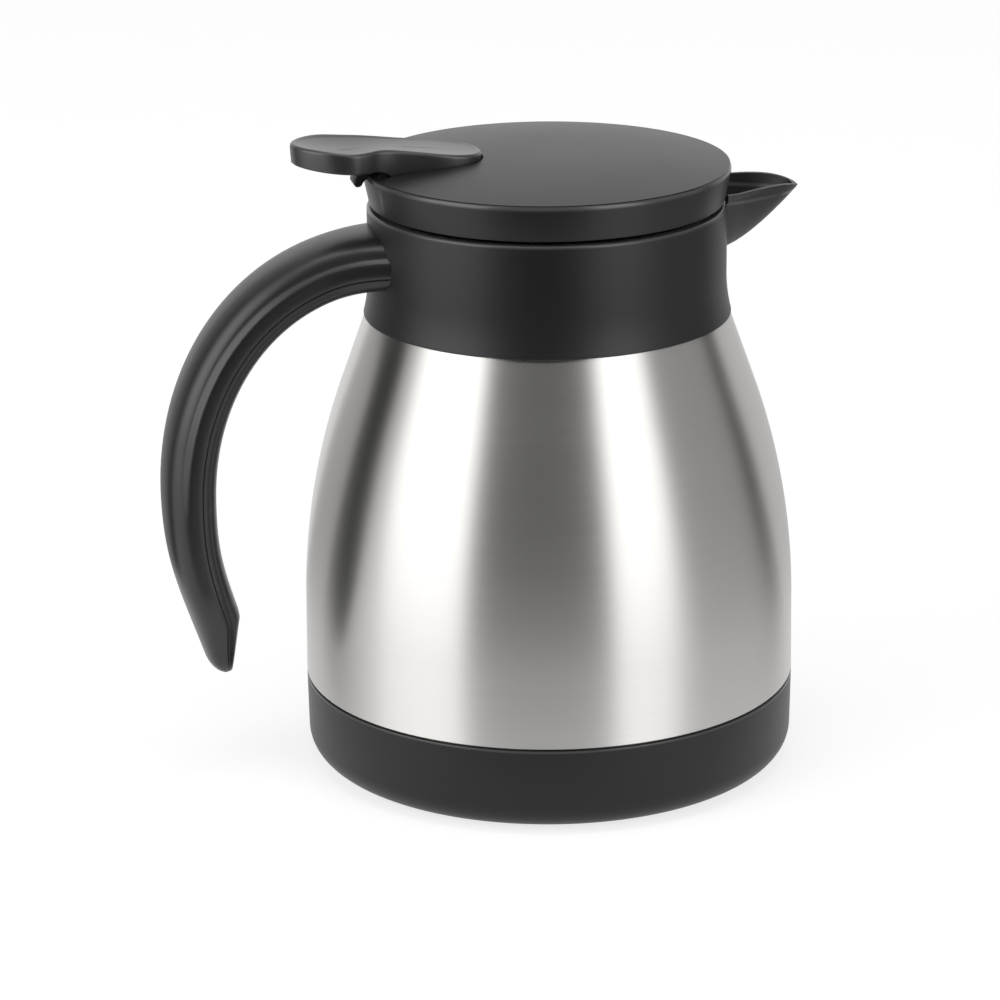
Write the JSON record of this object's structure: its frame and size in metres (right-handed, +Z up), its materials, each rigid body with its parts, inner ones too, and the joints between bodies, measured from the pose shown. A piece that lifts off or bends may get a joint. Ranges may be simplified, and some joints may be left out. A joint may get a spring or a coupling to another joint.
{
  "type": "thermal carafe with press lever lid",
  "caption": "Double-walled steel thermal carafe with a plastic base, collar, spout and open handle, and a screw lid whose thumb lever lifts the pouring valve.",
  "frame": {"origin": "middle of the underside of the foot pad, on the axis of the body, on the surface that the carafe stands on", "axes": "+Z up along the body's axis, +X towards the spout, -X towards the handle"},
  "size_m": [0.1759, 0.135, 0.1765],
  "materials": {
    "steel_brushed": "brushed round the body",
    "steel_plain": "plain drawn sheet",
    "getter_metal": "dull",
    "black_plastic": "fine satin",
    "handle_plastic": "fine satin",
    "lever_plastic": "fine satin",
    "valve_plastic": "smooth",
    "silicone": "matte",
    "seal_silicone": "matte",
    "screw_steel": "bright"
  },
  "bodies": {
    "carafe": {"outer_shell": "steel_brushed", "inner_flask": "steel_plain", "bottom_plate": "steel_plain", "vacuum_plug": "steel_plain", "getter_pill": "getter_metal", "base_cup": "black_plastic", "foot_pad": "silicone", "collar": "black_plastic", "neck_gasket": "silicone", "handle_outer": "handle_plastic", "handle_inner": "handle_plastic", "handle_screws": "screw_steel"},
    "lid_seal": {"stopper_gasket": "silicone"},
    "lid": {"lid_cover": "black_plastic", "lid_screws": "screw_steel", "stopper": "black_plastic", "lever_pin": "screw_steel", "lever_stop": "black_plastic", "valve_spring": "screw_steel"},
    "lever": {"press_lever": "lever_plastic"},
    "valve": {"valve_stem": "valve_plastic", "valve_seal": "seal_silicone", "stem_cap": "valve_plastic"}
  },
  "joints": [
    {"name": "lid_rise", "type": "slide", "parent": "carafe", "child": "lid_seal", "axis": [0, 0, 1], "range_m": [0, 0.036]},
    {"name": "lid_turn", "type": "hinge", "parent": "lid_seal", "child": "lid", "pos_m": [0, 0, 0.14], "axis": [0, 0, 1], "range_deg": [0, 360]},
    {"name": "lever_press", "type": "hinge", "parent": "lid", "child": "lever", "pos_m": [-0.038, 0, 0.1635], "axis": [0, -1, 0], "range_deg": [0, 9], "stiffness_Nm_per_rad": 1, "springref_deg": -1.72},
    {"name": "valve_lift", "type": "slide", "parent": "lid", "child": "valve", "axis": [0, 0, 1], "range_m": [0, 0.00602], "deforming": ["valve_spring"]}
  ],
  "couplings": [
    {"joint": "lid_rise", "follows": "lid_turn", "m_per_rad": 0.0057295},
    {"joint": "lever_press", "follows": "valve_lift", "rad_per_m": 26.07}
  ]
}
